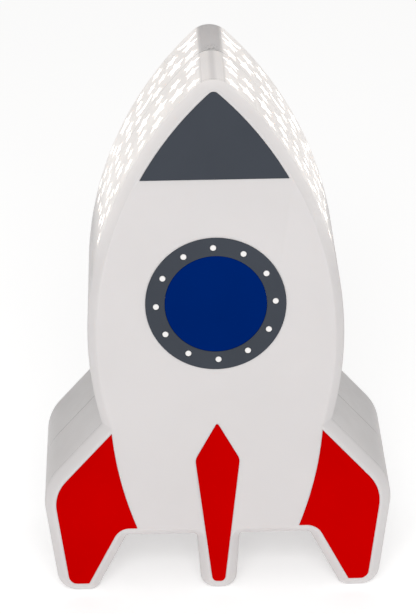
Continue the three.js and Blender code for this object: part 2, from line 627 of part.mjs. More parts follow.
function doorScrew() {
  const { z, head, shank, reach } = DOOR_SCREW;
  return cut(
    add(rod(0, z, head, BACK_Y - 0.7, DOOR_BACK - 0.1, 20),
      rod(0, z, shank, BACK_Y - reach, BACK_Y - 0.6, 12)),
    block(-1.9, 1.9, BACK_Y - 0.3, BACK_Y + 2, z - 0.4, z + 0.4));
}
piece('battery_door', batteryDoor(), 'white');
piece('battery_door_screw', doorScrew(), 'steel');

// ---------- lamp module, switch and wires ----------

const boardFront = BOARD.y - BOARD.thick / 2;
const boardBack = BOARD.y + BOARD.thick / 2;
piece('lamp_board', cut(
  block(-BOARD.half_x, BOARD.half_x, boardFront, boardBack, BOARD.low, BOARD.high),
  ...[-1, 1].map(side => rod(side * BOARD_POST.x, BOARD_POST.z, 1.4, 0, 40, 12))), 'board');

for (const [name, side] of [['left', -1], ['right', 1]]) {
  const x = side * BOARD_POST.x;
  const headFront = boardFront - GAP - 1.6;
  piece(`board_screw_${name}`, add(rod(x, BOARD_POST.z, 2.2, headFront, boardFront - GAP, 14),
    rod(x, BOARD_POST.z, 0.8, headFront + 1, boardBack + 6, 10)), 'steel');
}

// Solid of revolution that stands on the front of the board, its axis along -Y.
function onBoard(name, profile, sides, x, z) {
  const mesh = piece(name, turned(profile, sides), 'lens');
  mesh.rotation.x = Math.PI / 2;
  mesh.position.set(x, boardFront - GAP, z);
}

// Points on a quarter circle round the axis, from the rim (0) to the pole (1) or back.
function quarter(radius, from, to, steps, base = 0) {
  return Array.from({ length: steps + 1 }, (_, i) => {
    const angle = (from + (to - from) * i / steps) * Math.PI / 2;
    const r = radius * Math.cos(angle);
    return [r < 1e-6 ? 0 : r, base + radius * Math.sin(angle)];
  });
}

const LED = { radius: 2.5, length: 7, ring: 7, count: 3 };
for (let i = 0; i < LED.count; i++) {
  const angle = Math.PI / 2 + i * 2 * Math.PI / LED.count;
  const tip = quarter(LED.radius, 0, 1, 4, LED.length - LED.radius);
  onBoard(`led_${i + 1}`, [[0, 0], [LED.radius, 0], ...tip], 14,
    LED.ring * Math.cos(angle), LAMP.z + LED.ring * Math.sin(angle));
}
// Frosted dome over the lamps, a shell open towards the board.
const inner = LAMP.radius - LAMP.wall;
onBoard('lamp_diffuser', [...quarter(inner, 1, 0, 5), ...quarter(LAMP.radius, 0, 1, 5)], 20, 0, LAMP.z);

const switchFront = BACK_Y - SWITCH_BODY.front;
piece('switch_body', cut(
  block(-SWITCH_BODY.half_x, SWITCH_BODY.half_x, switchFront, BACK_Y - SWITCH_BODY.back - GAP,
    SWITCH.z - SWITCH_BODY.half_z, SWITCH.z + SWITCH_BODY.half_z),
  block(-KNOB_WELL.half_x, KNOB_WELL.half_x, BACK_Y - KNOB_WELL.front, BACK_Y,
    SWITCH.z - KNOB_WELL.half_z, SWITCH.z + KNOB_WELL.half_z)), 'black');
piece('switch_knob', block(-SLOT_END, SLOT_END - KNOB_TRAVEL, BACK_Y - KNOB.front,
  BACK_Y - KNOB.back, SWITCH.z - KNOB.half_z, SWITCH.z + KNOB.half_z), 'black');

// Insulated wire through a hand-laid route.
function wire(points) {
  const extrudePath = new THREE.CatmullRomCurve3(points.map(point => new THREE.Vector3(...point)));
  const section = new THREE.Shape().absarc(0, 0, WIRE.radius, 0, 2 * Math.PI);
  return new THREE.ExtrudeGeometry(section, { steps: 26, curveSegments: 3, extrudePath });
}
const bayWireY = BACK_Y - BAY.deep + WIRE.lift;
const solderY = boardBack + GAP + 0.2;
const switchY = switchFront - GAP - 0.2;
piece('wire_negative', wire([[WIRE_HOLE.low_x, bayWireY, BAY.low + 2],
  [WIRE_HOLE.low_x, bayWireY - 2.3, BAY.low + 2.8],
  [-19, 26.5, 57], [-24, 25.5, 80], [-25, 25.5, 115], [-24, 26, 145], [-14, 26.5, 160],
  [-12, solderY, 168]]), 'black');
piece('wire_positive', wire([[WIRE_HOLE.top_x, bayWireY, BAY.high - 0.4],
  [WIRE_HOLE.top_x, bayWireY, 117],
  [17, 30, 125], [9, 33, 132], [4, switchY, SWITCH.z]]), 'wire_red');
piece('wire_switched', wire([[-4, switchY, SWITCH.z], [-5, 33, 139], [3, 28, 150], [11, 26, 160],
  [12, solderY, 168]]), 'wire_red');

export default rocket;
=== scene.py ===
"""Rocket-shaped night light: the looks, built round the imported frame.

Metres, +Z up, the face looks towards -Y. Lengths written in millimetres are turned into metres
by MM. The shells, inlays, rivets, screws, cells, springs, lenses, door and knob are rebuilt with a
fine surface. The contact plates, lamp board, its screws, switch body and wires keep their CAD
shape and get their materials here.
"""

import math

import bmesh
import bpy
from mathutils import Matrix, Vector


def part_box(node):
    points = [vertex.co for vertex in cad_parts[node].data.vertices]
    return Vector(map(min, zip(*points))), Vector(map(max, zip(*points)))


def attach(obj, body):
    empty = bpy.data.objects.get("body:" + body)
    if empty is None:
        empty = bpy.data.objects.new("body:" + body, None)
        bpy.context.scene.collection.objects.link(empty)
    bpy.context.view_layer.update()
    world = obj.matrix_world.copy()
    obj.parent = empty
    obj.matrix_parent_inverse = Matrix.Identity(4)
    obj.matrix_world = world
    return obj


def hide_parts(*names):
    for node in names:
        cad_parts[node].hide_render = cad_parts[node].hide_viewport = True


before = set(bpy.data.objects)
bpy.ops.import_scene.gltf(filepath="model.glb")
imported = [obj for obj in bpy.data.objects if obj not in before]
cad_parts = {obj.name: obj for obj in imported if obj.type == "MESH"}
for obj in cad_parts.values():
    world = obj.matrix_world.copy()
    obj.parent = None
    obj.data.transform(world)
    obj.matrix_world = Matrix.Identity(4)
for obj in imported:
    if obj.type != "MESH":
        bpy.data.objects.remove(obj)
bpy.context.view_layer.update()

MM = 0.001

# ---------- sizes, from the frame and the part's driving dimensions ----------

FACE_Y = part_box("front_shell")[0].y
BACK_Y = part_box("rear_shell")[1].y
RING_LOW, RING_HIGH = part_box("porthole_ring")
RING_Z = (RING_LOW.z + RING_HIGH.z) / 2
RING_RADIUS = (RING_HIGH.x - RING_LOW.x) / 2
INLAY_FRONT = RING_LOW.y
INLAY_BACK = RING_HIGH.y
WINDOW_RADIUS = (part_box("porthole_window")[1].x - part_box("porthole_window")[0].x) / 2

SEAM_Y = 2.0 * MM
SEAM_GAP = 0.3 * MM
BEVEL_DEPTH = 5.2 * MM
BEVEL_WIDTH = 4.45 * MM
SEAT_DEPTH = 1.52 * MM
SEAT_GAP = 0.03 * MM
SEAT_FLARE = 0.1 * MM
OGIVE_X = -113 * MM
OGIVE_Z = RING_Z - 18 * MM
OGIVE_RADIUS = 175.3 * MM
TIP_RADIUS = 12 * MM
INLAY_INSET = 5.7 * MM
NOSE_PANEL_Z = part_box("nose_panel")[0].z
NOSE_PANEL_TIP = 3 * MM
FIN_EDGE_X = 136.4 * MM
FIN_EDGE_Z = RING_Z - 51.5 * MM
FIN_EDGE_RADIUS = 188.7 * MM
SKIN = 1.2 * MM                 # thickness of the rebuilt outer surface
LAP = 0.2 * MM                  # overlap between that surface and the CAD inner structure

# Right half of the outline below the nose: x, z, corner radius (negative: inside corner), in mm.
LOWER_CORNERS = (
    (56.2, 89.8, 0), (86.8, 56.4, 25), (78.9, 0, 10), (61.0, 0, 6),
    (45.4, 29.7, -2.75), (10.6, 29.7, -2), (8.5, 0, 7.5),
)
SPEAR_CORNERS = ((0, 91.5, 0.8), (10.9, 71.9, 6.5), (3.0, 5.6, 2.6))

# Cut-outs: distance down the nose wall, distance behind the front bevel, size and turn; mm and
# degrees. A moon has its radius in the place of the size.
STAR_SIZES = {"xl": 7.2, "l": 6.4, "m": 5.5, "s": 4.6, "xs": 3.7, "xxs": 3.1}
STAR_WAIST = 0.47
FRONT_STARS = (
    (-2, 6.6, "s", 175), (-1.8, 25, "s", 173), (-1.8, 37, "m", 165),
    (8.4, 15.4, "l", 166), (9.9, 32, "s", 270),
    (24.4, 7.6, "m", 270), (21.7, 23.4, "l", 171), (21.8, 37, "xs", 270),
    (37.3, 7.4, "xs", 190), (37, 20, "s", 270), (35.6, 34, "l", 168),
    (50, 9.8, "s", 270), (48, 22, "xxs", 180), (50, 34.6, "xs", 200),
    (62.8, 9.8, "xs", 180), (59.2, 24.4, "s", 175), (61.4, 37.8, "xs", 190),
    (74, 7, "xs", 180), (68.7, 17.5, "xxs", 270), (76.2, 24.4, "xxs", 180), (73, 34.6, "s", 260),
    (89.5, 8.6, "xs", 180), (83.2, 16.6, "s", 200), (87.4, 28.5, "xs", 270), (86.6, 40, "xxs", 180),
)
REAR_STARS = (
    (-1.7, 52.4, "s", 180), (-1.4, 68, "m", 160), (9, 56.6, "l", 161), (11.4, 72, "s", 270),
    (23.6, 51.6, "s", 270), (18.8, 63.6, "xs", 180), (27.6, 68.6, "xs", 160),
    (22.6, 79.4, "s", 270), (39.8, 50.4, "xxs", 190), (38.8, 70, "xs", 270),
    (37.7, 80.4, "xs", 175), (49.5, 51, "xs", 180), (48.6, 61.6, "s", 190),
    (52.4, 77, "xl", 167), (62.5, 50.4, "xxs", 180), (60.6, 60, "s", 175),
    (65.7, 71, "xs", 270), (73.5, 50.5, "xs", 190), (71, 60.4, "xxs", 180),
    (82, 59.4, "s", 270), (79, 73.6, "xs", 170), (88.6, 50.6, "xxs", 180),
    (69, 81.6, "xxs", 180), (90.4, 67.6, "xs", 180), (87.4, 80.4, "xs", 270),
)
MOONS = ((0.4, 81.2, 6.2, 6), (34.2, 62.0, 6.8, 10))
MOON_BITE = 1.2
MOON_THICKNESS = 0.5


# ---------- outlines: lists of (x, z) in metres, clockwise as seen from the front ----------

def arc(x, z, radius, start, end, steps):
    angles = [start + (end - start) * i / steps for i in range(steps + 1)]
    return [(x + radius * math.cos(a), z + radius * math.sin(a)) for a in angles]


def mirrored(half):
    return half + [(-x, z) for x, z in reversed(half) if x > 1e-6]


def moved_in(corners, distance):
    """Moves every side of a closed clockwise corner list inwards."""
    lines = []
    for (x, z, _), (nx, nz, _) in zip(corners, corners[1:] + corners[:1]):
        length = math.hypot(nx - x, nz - z)
        dx, dz = (nx - x) / length, (nz - z) / length
        lines.append((x + dz * distance, z - dx * distance, dx, dz))
    moved = []
    for i, (_, _, radius) in enumerate(corners):
        ax, az, adx, adz = lines[i - 1]
        bx, bz, bdx, bdz = lines[i]
        t = ((bx - ax) * bdz - (bz - az) * bdx) / (adx * bdz - adz * bdx)
        moved.append((ax + adx * t, az + adz * t, radius - distance if radius else 0))
    return moved


def rounded_corner(before, corner, after, steps):
    x, z, radius = corner
    radius = abs(radius)
    if radius < 0.05 * MM:
        return [(x, z)]
    start = math.atan2(z - before[1], x - before[0])
    turn = math.atan2(after[1] - z, after[0] - x) - start
    turn = (turn + math.pi) % (2 * math.pi) - math.pi
    side = math.copysign(1, turn)
    tangent = radius * math.tan(abs(turn) / 2)
    cx = x - math.cos(start) * tangent - side * radius * math.sin(start)
    cz = z - math.sin(start) * tangent + side * radius * math.cos(start)
    first = start - side * math.pi / 2
    return arc(cx, cz, radius, first, first + turn, steps)


def metres(corners):
    """Right half and its mirror image, as a closed list in metres."""
    half = [(x * MM, z * MM, r * MM) for x, z, r in corners]
    return half + [(-x, z, r) for x, z, r in reversed(half) if x > 0]


def flank(inset, tip, end, steps=72):
    """Nose edge moved in by inset: the rounded tip, then the flank down to an angle."""
    radius = OGIVE_RADIUS - inset
    rise = math.sqrt((radius - tip) ** 2 - OGIVE_X ** 2)
    meet = math.atan2(rise, -OGIVE_X)
    return (arc(0, OGIVE_Z + rise, tip, math.pi / 2, meet, 10)[:-1]
            + arc(OGIVE_X, OGIVE_Z, radius, meet, end, steps))


def outline(inset=0.0):
    corners = moved_in(metres(LOWER_CORNERS), inset)[:len(LOWER_CORNERS)]
    (jx, jz, _), (sx, sz, _) = corners[:2]
    length = math.hypot(jx - sx, jz - sz)
    ux, uz = (jx - sx) / length, (jz - sz) / length
    px, pz = sx - OGIVE_X, sz - OGIVE_Z
    along = px * ux + pz * uz
    t = -along - math.sqrt((OGIVE_RADIUS - inset) ** 2 - px * px - pz * pz + along ** 2)
    end = math.atan2(pz + uz * t, px + ux * t)
    nose = flank(inset, max(TIP_RADIUS - 1.5 * inset, 1.5 * MM), end)
    corners[0] = (*nose[-1], 0)
    last = corners[-1]
    ring = corners + [(-last[0], last[1], 0)]
    lower = []
    for i in range(1, len(corners)):
        lower += rounded_corner(ring[i - 1], ring[i], ring[i + 1], 10)
    return mirrored(nose + lower)


def nose_panel(grow=0.0):
    inset = INLAY_INSET - grow
    end = math.asin((NOSE_PANEL_Z - grow - OGIVE_Z) / (OGIVE_RADIUS - inset))
    return mirrored(flank(inset, NOSE_PANEL_TIP + grow, end, 40))


def spear(grow=0.0):
    ring = moved_in(metres(SPEAR_CORNERS), -grow)
    points = []
    for i, corner in enumerate(ring):
        points += rounded_corner(ring[i - 1], corner, ring[(i + 1) % len(ring)], 8)
    return points


def fin_panel(side, grow=0.0):
    """Lower part of the moved-in outline on one side, up to its curved inner edge."""
    radius = FIN_EDGE_RADIUS - grow

    def reach(point):
        return math.hypot(point[0] + FIN_EDGE_X, point[1] - FIN_EDGE_Z) - radius

    def crossing(a, b):
        t = reach(a) / (reach(a) - reach(b))
        return (a[0] + (b[0] - a[0]) * t, a[1] + (b[1] - a[1]) * t)

    points = [p for p in outline(INLAY_INSET - grow) if p[0] > 0 and p[1] < 92 * MM]
    inside = [i for i, p in enumerate(points) if reach(p) > 0]
    first, last = inside[0], inside[-1]
    top = crossing(points[first - 1], points[first])
    low = crossing(points[last], points[last + 1])
    angles = [math.atan2(p[1] - FIN_EDGE_Z, p[0] + FIN_EDGE_X) for p in (low, top)]
    edge = arc(-FIN_EDGE_X, FIN_EDGE_Z, radius, *angles, 20)
    panel = points[first:last + 1] + edge
    return panel if side > 0 else [(-x, z) for x, z in reversed(panel)]


def circle(radius, steps=128):
    return arc(0, RING_Z, radius, 0, -2 * math.pi, steps)[:-1]


def ring_edge(grow):
    return circle(RING_RADIUS + grow)


# ---------- meshes ----------

def mesh_object(name, verts, faces):
    mesh = bpy.data.meshes.new(name)
    mesh.from_pydata(verts, [], faces)
    mesh.validate()
    obj = bpy.data.objects.new(name, mesh)
    bpy.context.scene.collection.objects.link(obj)
    return obj


def loft(name, sections):
    """Closed form through (points, y) sections of equal point count, capped at both ends."""
    count = len(sections[0][0])
    verts = [(x, y, z) for points, y in sections for x, z in points]
    faces = []
    for s in range(len(sections) - 1):
        for i in range(count):
            a, b = s * count + i, s * count + (i + 1) % count
            faces.append((a, b, b + count, a + count))
    faces.append(tuple(reversed(range(count))))
    faces.append(tuple(range((len(sections) - 1) * count, len(sections) * count)))
    return mesh_object(name, verts, faces)


def slab(name, points, front, back):
    return loft(name, [(points, front), (points, back)])


def block(name, low, high):
    corners = [(low[0], low[2]), (low[0], high[2]), (high[0], high[2]), (high[0], low[2])]
    return slab(name, corners, low[1], high[1])


def disc(name, x, z, radius, front, back, steps=48):
    points = arc(x, z, radius, 0, -2 * math.pi, steps)[:-1]
    return slab(name, points, front, back)


def revolved(name, profile, place, axis, steps=48):
    """Solid of revolution: (radius, height) pairs from axis to axis, heights along an axis
    vector from a place."""
    axis = Vector(axis)
    side = axis.orthogonal().normalized()
    other = axis.cross(side)
    inner = profile[1:-1]
    verts = [Vector(place) + axis * profile[0][1], Vector(place) + axis * profile[-1][1]]
    for radius, height in inner:
        for angle in (2 * math.pi * i / steps for i in range(steps)):
            out = side * math.cos(angle) + other * math.sin(angle)
            verts.append(Vector(place) + axis * height + out * radius)
    faces = []
    for i in range(steps):
        j = (i + 1) % steps
        faces.append((0, 2 + j, 2 + i))
        for ring in range(len(inner) - 1):
            a = 2 + ring * steps
            faces.append((a + i, a + j, a + j + steps, a + i + steps))
        last = 2 + (len(inner) - 1) * steps
        faces.append((1, last + i, last + j))
    return mesh_object(name, verts, faces)


def joined(name, objects):
    """One object from several."""
    bm = bmesh.new()
    for obj in objects:
        bm.from_mesh(obj.data)
        bpy.data.objects.remove(obj)
    mesh = bpy.data.meshes.new(name)
    bm.to_mesh(mesh)
    bm.free()
    obj = bpy.data.objects.new(name, mesh)
    bpy.context.scene.collection.objects.link(obj)
    return obj


def boolean(obj, other, operation):
    """Applies a boolean with another object, which is then removed."""
    modifier = obj.modifiers.new("cut", "BOOLEAN")
    modifier.operation = operation
    modifier.solver = "MANIFOLD"
    modifier.object = other
    bpy.context.view_layer.update()
    evaluated = obj.evaluated_get(bpy.context.evaluated_depsgraph_get())
    mesh = bpy.data.meshes.new_from_object(evaluated)
    obj.modifiers.clear()
    obj.data = mesh
    bpy.data.objects.remove(other)
    return obj


def smooth(obj, degrees=28):
    obj.data.shade_smooth()
    obj.data.set_sharp_from_angle(angle=math.radians(degrees))
    return obj


def welded_copy(node):
    """A closed copy of a CAD node's mesh, to build a finer piece from."""
    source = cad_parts[node]
    bm = bmesh.new()
    bm.from_mesh(source.data)
    bmesh.ops.remove_doubles(bm, verts=bm.verts, dist=1e-7)
    mesh = bpy.data.meshes.new(node + "_copy")
    bm.to_mesh(mesh)
    bm.free()
    obj = bpy.data.objects.new(node + "_copy", mesh)
    bpy.context.scene.collection.objects.link(obj)
    return obj


# ---------- cut-outs in the nose walls ----------

def star(size):
    radius = STAR_SIZES[size] + 0.02
    return [(r * math.cos(a), r * math.sin(a)) for r, a in (
        (radius * (STAR_WAIST if i % 2 else 1), i * math.pi / 5) for i in range(10))]


def moon(radius):
    bite = radius * MOON_BITE
    bite_y = radius * (MOON_THICKNESS - 1) + bite
    horn_y = (radius ** 2 - bite ** 2 + bite_y ** 2) / (2 * bite_y)
    horn_x = math.sqrt(radius ** 2 - horn_y ** 2)
    outer = math.atan2(horn_y, horn_x)
    inner = math.atan2(horn_y - bite_y, horn_x)
    return (arc(0, 0, radius + 0.02, outer, -math.pi - outer, 28)
            + arc(0, bite_y, bite, -math.pi - inner, inner, 16)[1:-1])


def wall_cutter(points, side, along, back, turn):
    """Prism through the nose wall. Its X runs down the wall and its Y to the rear."""
    angle = math.pi / 4 - along * MM / OGIVE_RADIUS
    down = Vector((side * math.sin(angle), 0, -math.cos(angle)))
    rear = Vector((0, 1, 0))
    out = down.cross(rear)
    centre = Vector((side * (OGIVE_X + OGIVE_RADIUS * math.cos(angle)),
                     FACE_Y + BEVEL_DEPTH + back * MM,
                     OGIVE_Z + OGIVE_RADIUS * math.sin(angle)))
    c, s = math.cos(math.radians(turn)), math.sin(math.radians(turn))
    verts = []
    for depth in (-4.5 * MM, 4.5 * MM):
        for x, y in points:
            x, y = (c * x - s * y) * MM, (s * x + c * y) * MM
            verts.append(centre + down * x + rear * y + out * depth)
    n = len(points)
    faces = [(i, (i + 1) % n, n + (i + 1) % n, n + i) for i in range(n)]
    faces += [tuple(reversed(range(n))), tuple(range(n, 2 * n))]
    obj = mesh_object("cutter", verts, faces)
    bm = bmesh.new()
    bm.from_mesh(obj.data)
    bmesh.ops.recalc_face_normals(bm, faces=bm.faces)
    bm.to_mesh(obj.data)
    bm.free()
    return obj


def wall_cutters(stars, moons):
    made = []
    for side in (-1, 1):
        for along, back, size, turn in stars:
            made.append(wall_cutter(star(size), side, along, back, turn))
        for along, back, radius, turn in moons:
            made.append(wall_cutter(moon(radius), side, along, back, turn))
    return joined("wall_cutters", made)


# ---------- shells ----------

def centre(node):
    low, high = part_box(node)
    return (low + high) / 2


def bevel_profile():
    """(inset, depth) pairs from the face to the crease: a soft inner edge, then a slightly
    convex bevel."""
    soft = 0.55 * MM
    bulge = 0.30 * MM
    length = math.hypot(BEVEL_WIDTH, BEVEL_DEPTH)
    nx, ny = -BEVEL_DEPTH / length, -BEVEL_WIDTH / length

    def bevel(t):
        b = bulge * 4 * t * (1 - t)
        return (BEVEL_WIDTH * (1 - t) + nx * b, BEVEL_DEPTH * t + ny * b)

    start = (BEVEL_WIDTH + soft, 0.0)
    turn = (BEVEL_WIDTH, 0.0)
    end = bevel(0.1)
    pairs = []
    for i in range(5):
        t = i / 4
        pairs.append(tuple((1 - t) ** 2 * a + 2 * t * (1 - t) * b + t * t * c
                           for a, b, c in zip(start, turn, end)))
    pairs += [bevel(t) for t in (0.25, 0.4, 0.55, 0.7, 0.85, 1.0)]
    return pairs


def skin(name, face_y, seam_y, step):
    """Thin outer surface of one shell. step is +1 for the front shell, -1 for the rear one."""
    rim = 0.3 * MM
    drop = 0.0 if step > 0 else 0.12 * MM     # the rear shell's rim sits a hair lower
    sections = [(outline(inset), face_y + step * depth) for inset, depth in bevel_profile()]
    sections += [
        (outline(), seam_y - step * 6 * rim),
        (outline(drop), seam_y - step * rim),
        (outline(drop + rim * 0.7), seam_y),
        (outline(SKIN), seam_y),
        (outline(SKIN), face_y + step * (BEVEL_DEPTH + SKIN)),
        (outline(BEVEL_WIDTH + 0.5 * MM), face_y + step * SKIN),
    ]
    if step < 0:
        sections.reverse()
    return loft(name, sections)


def core(face_y, seam_y, step):
    """Everything inside the skin, and beyond the seam."""
    inset = SKIN - LAP
    far = seam_y + step * 30 * MM
    sections = [
        (outline(BEVEL_WIDTH + 0.35 * MM), face_y + step * inset),
        (outline(inset), face_y + step * (BEVEL_DEPTH + inset)),
        (outline(inset), far),
    ]
    if step < 0:
        sections.reverse()
    return loft("core", sections)


def shell(name, node, step, cutters):
    face_y = FACE_Y if step > 0 else BACK_Y
    seam_y = SEAM_Y - step * SEAM_GAP / 2
    piece = skin(name, face_y, seam_y, step)
    inner = boolean(welded_copy(node), core(face_y, seam_y, step), "INTERSECT")
    boolean(piece, inner, "UNION")
    for cutter in cutters:
        boolean(piece, cutter, "DIFFERENCE")
    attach(piece, "housing")
    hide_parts(node)
    return smooth(piece)


LIT_FROM_Z = 140 * MM           # the lamp's light fills the shells above this height
POST_REACH = 4.4 * MM           # radius of a screw post, which stays dark
SWITCH_ROOM_DEPTH = 14 * MM     # the dark block round the switch, from the back
SWITCH_ROOM_HALF_X = 32 * MM
SHELL_SCREWS = [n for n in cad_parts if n.startswith("shell_screw_")]
POSTS = [centre(n) for n in SHELL_SCREWS]
SWITCH_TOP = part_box("switch_body")[1].z + 6 * MM


def lit_inside(x, y, z):
    """Whether a point lies behind the outer surface, where the lamp's light reaches. The screw
    holes and the finger recess in the back are left out."""
    if z < LIT_FROM_Z:
        return False
    if any(math.hypot(x - post.x, z - post.z) < POST_REACH for post in POSTS):
        return False
    if y > BACK_Y - SWITCH_ROOM_DEPTH and z < SWITCH_TOP and abs(x) < SWITCH_ROOM_HALF_X:
        return False
    rise = math.sqrt((OGIVE_RADIUS - TIP_RADIUS) ** 2 - OGIVE_X ** 2)
    tip_x, tip_z = abs(x), z - OGIVE_Z - rise
    if math.atan2(tip_z, tip_x) > math.atan2(rise, -OGIVE_X):
        inset = TIP_RADIUS - math.hypot(tip_x, tip_z) - 0.3 * MM
    else:
        inset = OGIVE_RADIUS - math.hypot(abs(x) - OGIVE_X, z - OGIVE_Z)
    depth = min(y - FACE_Y, BACK_Y - y)
    if depth < 1.7 * MM or (abs(y - SEAM_Y) < 0.5 * MM and inset < 3.6 * MM):
        return False
    return min(inset / BEVEL_WIDTH, 1) + min(depth / BEVEL_DEPTH, 1) > 1.05


def light_inside(obj, plain, lit):
    """Gives the cut-outs' edges and the inner faces of the nose the lit material."""
    obj.data.materials.clear()
    obj.data.materials.append(plain)
    obj.data.materials.append(lit)
    for polygon in obj.data.polygons:
        x, y, z = polygon.center
        outward = Vector((math.copysign(abs(x) - OGIVE_X, x), 0, z - OGIVE_Z)).normalized()
        inset = OGIVE_RADIUS - math.hypot(abs(x) - OGIVE_X, z - OGIVE_Z)
        lip = inset < 2.5 * MM and polygon.normal.dot(outward) > 0.7   # seen through the seam
        polygon.material_index = int(lit_inside(x, y, z) and not lip)


def seat(shape, *args):
    """Cutter for an inlay's seat, flared at the face so that its rim is chamfered."""
    wide, narrow = shape(*args, SEAT_GAP + SEAT_FLARE), shape(*args, SEAT_GAP)
    return loft("seat", [(wide, FACE_Y - MM), (wide, FACE_Y - 0.01 * MM),
                         (narrow, FACE_Y + SEAT_FLARE), (narrow, FACE_Y + SEAT_DEPTH)])


def sunk_block(node, grow, depth):
    """Block that follows a CAD node's box on the back, depth deep."""
    low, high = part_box(node)
    return block("sunk", (low.x - grow, BACK_Y - depth, low.z - grow),
                 (high.x + grow, BACK_Y + MM, high.z + grow))


SCREW_WELL_RADIUS = 3.02 * MM
SCREW_WELL_Y = 30 * MM
DOOR_GAP = 0.31 * MM
DOOR_SEAT = 2.42 * MM
RECESS_HALF_X = 10 * MM         # finger recess round the switch knob
RECESS_HALF_Z = 4.22 * MM
RECESS_DEPTH = 2.62 * MM

front_shell = shell("front_shell_skin", "front_shell", 1, [
    seat(nose_panel), seat(fin_panel, 1), seat(fin_panel, -1), seat(spear), seat(ring_edge),
    wall_cutters(FRONT_STARS, ()),
])
switch_z = centre("switch_knob").z
rear_cutters = [disc("hole", centre(n).x, centre(n).z, SCREW_WELL_RADIUS, SCREW_WELL_Y,
                     BACK_Y + MM) for n in SHELL_SCREWS]
rear_cutters.append(sunk_block("battery_door", DOOR_GAP, DOOR_SEAT))
rear_cutters.append(block("sunk", (-RECESS_HALF_X, BACK_Y - RECESS_DEPTH, switch_z - RECESS_HALF_Z),
                          (RECESS_HALF_X, BACK_Y + MM, switch_z + RECESS_HALF_Z)))
rear_cutters.append(wall_cutters(REAR_STARS, MOONS))
rear_shell = shell("rear_shell_skin", "rear_shell", -1, rear_cutters)


# ---------- inlays ----------

def softened(obj, width, segments=3, degrees=40):
    """Rounds a piece's sharp edges."""
    modifier = obj.modifiers.new("soft_edges", "BEVEL")
    modifier.width = width
    modifier.segments = segments
    modifier.limit_method = "ANGLE"
    modifier.angle_limit = math.radians(degrees)
    modifier.harden_normals = True
    obj.data.shade_smooth()
    return obj


def inlay(name, node, points, hole=None):
    piece = slab(name, points, INLAY_FRONT, INLAY_BACK)
    if hole:
        boolean(piece, hole, "DIFFERENCE")
    softened(piece, 0.22 * MM)
    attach(piece, "housing")
    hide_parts(node)
    return piece


rivets = [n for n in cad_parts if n.startswith("ring_rivet_")]
inlays = [
    inlay("nose_inlay", "nose_panel", nose_panel()),
    inlay("fin_inlay_right", "fin_panel_right", fin_panel(1)),
    inlay("fin_inlay_left", "fin_panel_left", fin_panel(-1)),
    inlay("spear_inlay", "fin_panel_centre", spear()),
    inlay("window_inlay", "porthole_window", circle(WINDOW_RADIUS + 0.08 * MM)),
    inlay("ring_inlay", "porthole_ring", circle(RING_RADIUS),
        joined("holes", [disc("h", 0, RING_Z, WINDOW_RADIUS + 0.2 * MM, FACE_Y - 2 * MM,
                              FACE_Y + 3 * MM, 128)]
               + [disc("h", centre(n).x, centre(n).z, 1.6 * MM, FACE_Y - 2 * MM, FACE_Y + 3 * MM)
                  for n in rivets])),
]


# ---------- fine pieces for the small CAD parts ----------

Y_AXIS = Vector((0, 1, 0))
Z_AXIS = Vector((0, 0, 1))


def stands_for(piece, node, body):
    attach(piece, body)
    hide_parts(node)
    return piece


def round_edge(radius, height, edge, steps=4):
    """Profile points of a rounded rim that ends at a height, from the side to the top."""
    return [(radius - edge + edge * math.cos(a), height - edge + edge * math.sin(a))
            for a in (math.pi / 2 * i / steps for i in range(steps + 1))]


def rivet(node):
    """White domed pin that fills its hole in the ring."""
    low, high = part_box(node)
    radius = (high.z - low.z) / 2
    length = high.y - low.y
    profile = [(0, 0), (radius, 0), *round_edge(radius, length, 0.35 * MM), (0, length)]
    place = (centre(node).x, high.y, centre(node).z)
    piece = revolved(node.replace("ring_rivet", "rivet_pin"), profile, place, -Y_AXIS, 32)
    return smooth(stands_for(piece, node, "housing"), 50)


def shell_screw(node):
    """Pan-head screw with a cross recess, its head towards the back."""
    low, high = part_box(node)
    x, z = centre(node).x, centre(node).z
    head = (high.x - low.x) / 2
    shank, seat_y = 0.95 * MM, high.y - 1.7 * MM
    profile = [(0, low.y), (shank * 0.3, low.y), (shank, low.y + 2 * MM), (shank, seat_y),
               (head, seat_y), (head, seat_y + 0.5 * MM), (head * 0.86, seat_y + 1.15 * MM),
               (head * 0.55, seat_y + 1.55 * MM), (head * 0.3, high.y), (0, high.y)]
    piece = revolved(node.replace("shell_screw", "case_screw"), profile, (x, 0, z), Y_AXIS, 40)
    wide, narrow = 1.5 * MM, 0.32 * MM
    for half_x, half_z in ((wide, narrow), (narrow, wide)):
        boolean(piece, block("slot", (x - half_x, high.y - 1.0 * MM, z - half_z),
                             (x + half_x, high.y + MM, z + half_z)), "DIFFERENCE")
    return smooth(stands_for(piece, node, "housing"))


def door():
    """Battery door: soft edges, grip ribs above the screw, and tabs behind the upper edge."""
    low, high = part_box("battery_door")
    screw = centre("battery_door_screw")
    plate_front = low.y + 1.4 * MM
    piece = block("door_panel", (low.x, plate_front, low.z), (high.x, high.y, high.z))
    rib_z = screw.z + 9 * MM
    grooves = [block("groove", (-11 * MM, high.y - 0.55 * MM, rib_z + i * 2.6 * MM),
                     (11 * MM, high.y + MM, rib_z + i * 2.6 * MM + 1.3 * MM)) for i in range(5)]
    boolean(piece, joined("grooves", grooves), "DIFFERENCE")
    boolean(piece, disc("hole", 0, screw.z, 1.6 * MM, low.y - MM, high.y + MM), "DIFFERENCE")
    boolean(piece, disc("hole", 0, screw.z, 2.9 * MM, high.y - 1.3 * MM, high.y + MM, 64),
            "DIFFERENCE")
    for side in (-1, 1):
        tab = block("tab", (side * 14 * MM - 3.5 * MM, low.y, high.z - 3.2 * MM),
                    (side * 14 * MM + 3.5 * MM, plate_front + 0.2 * MM, high.z - 0.6 * MM))
        boolean(piece, tab, "UNION")
    softened(piece, 0.28 * MM)
    return stands_for(piece, "battery_door", "battery_door")


